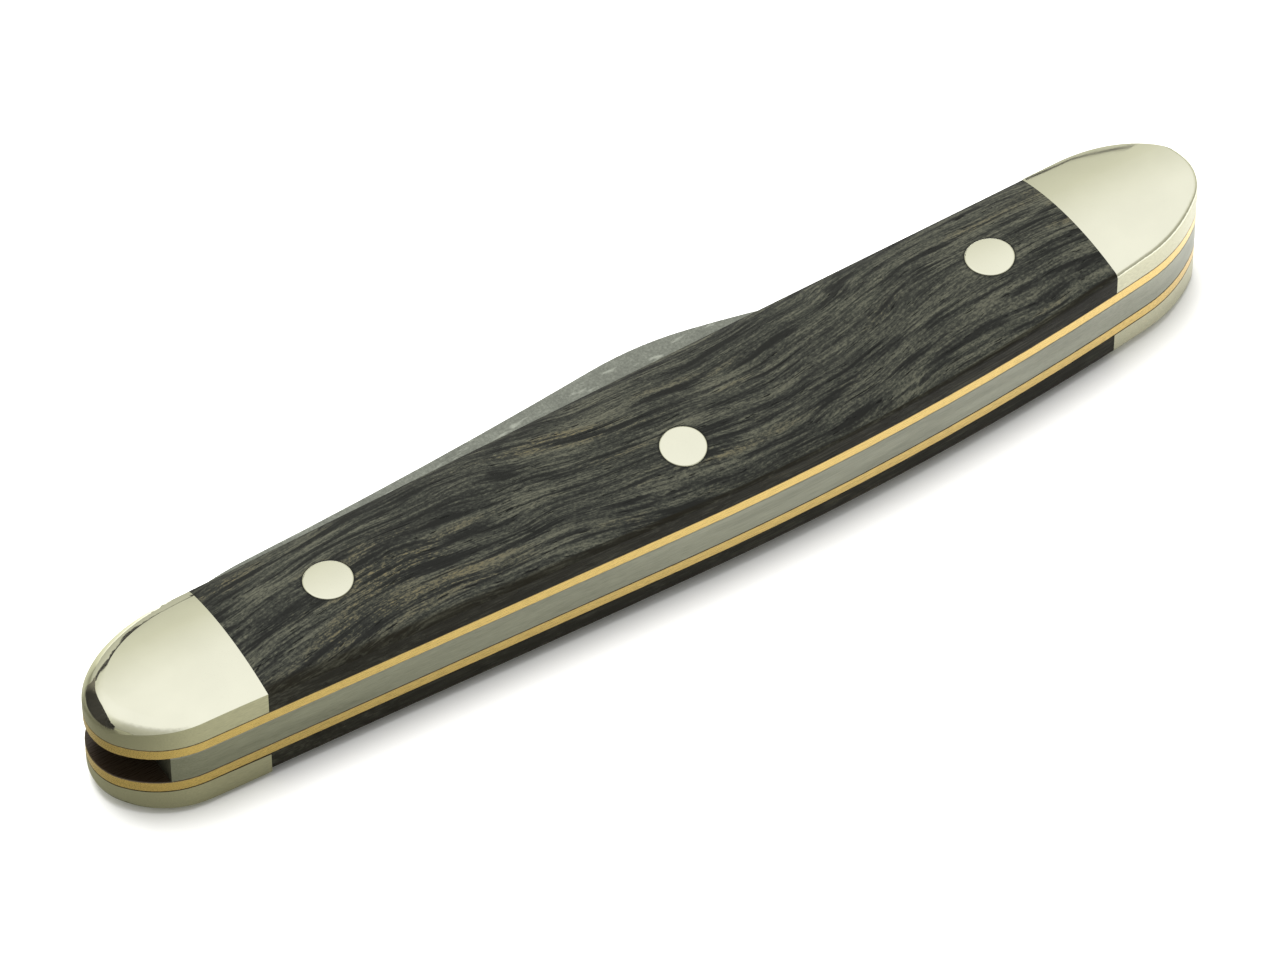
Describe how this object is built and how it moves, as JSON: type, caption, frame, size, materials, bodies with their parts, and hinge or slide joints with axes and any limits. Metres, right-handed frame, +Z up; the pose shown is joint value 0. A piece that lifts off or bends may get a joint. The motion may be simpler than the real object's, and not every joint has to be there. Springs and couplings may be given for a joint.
{
  "type": "folding pocket knife",
  "caption": "Slim folding pocket knife: a drop-shaped blade turns on a pivot pin into a handle of brass liners, dark wood scales and metal bolsters, held by a leaf backspring.",
  "frame": {"origin": "on the surface that the closed knife lies on, half way between the two noses", "axes": "+X from the pivot end to the far end, +Y towards the side that the blade opens on, -Y towards the backspring, +Z up from the surface"},
  "size_m": [0.088, 0.016, 0.0094],
  "materials": {
    "blade_steel": "fine satin grind",
    "spring_steel": "brushed along its length",
    "brass_liner": "polished edge",
    "dark_wood": "oiled, satin",
    "nickel_silver": "polished white copper alloy",
    "pin_metal": "polished white copper alloy"
  },
  "bodies": {
    "handle": {"backspring": "spring_steel", "upper_liner": "brass_liner", "lower_liner": "brass_liner", "upper_scale": "dark_wood", "lower_scale": "dark_wood", "upper_front_bolster": "nickel_silver", "lower_front_bolster": "nickel_silver", "upper_rear_bolster": "nickel_silver", "lower_rear_bolster": "nickel_silver", "pivot_pin": "pin_metal", "rear_pin": "pin_metal", "centre_pin": "pin_metal", "upper_front_rivet": "pin_metal", "lower_front_rivet": "pin_metal", "upper_rear_rivet": "pin_metal", "lower_rear_rivet": "pin_metal"},
    "blade": {"blade": "blade_steel"}
  },
  "joints": [
    {"name": "blade_pivot", "type": "hinge", "parent": "handle", "child": "blade", "pos_m": [-0.037, 0.0012, 0.00465], "axis": [0, 0, 1], "range_deg": [0, 180], "deforming": ["backspring"]}
  ]
}
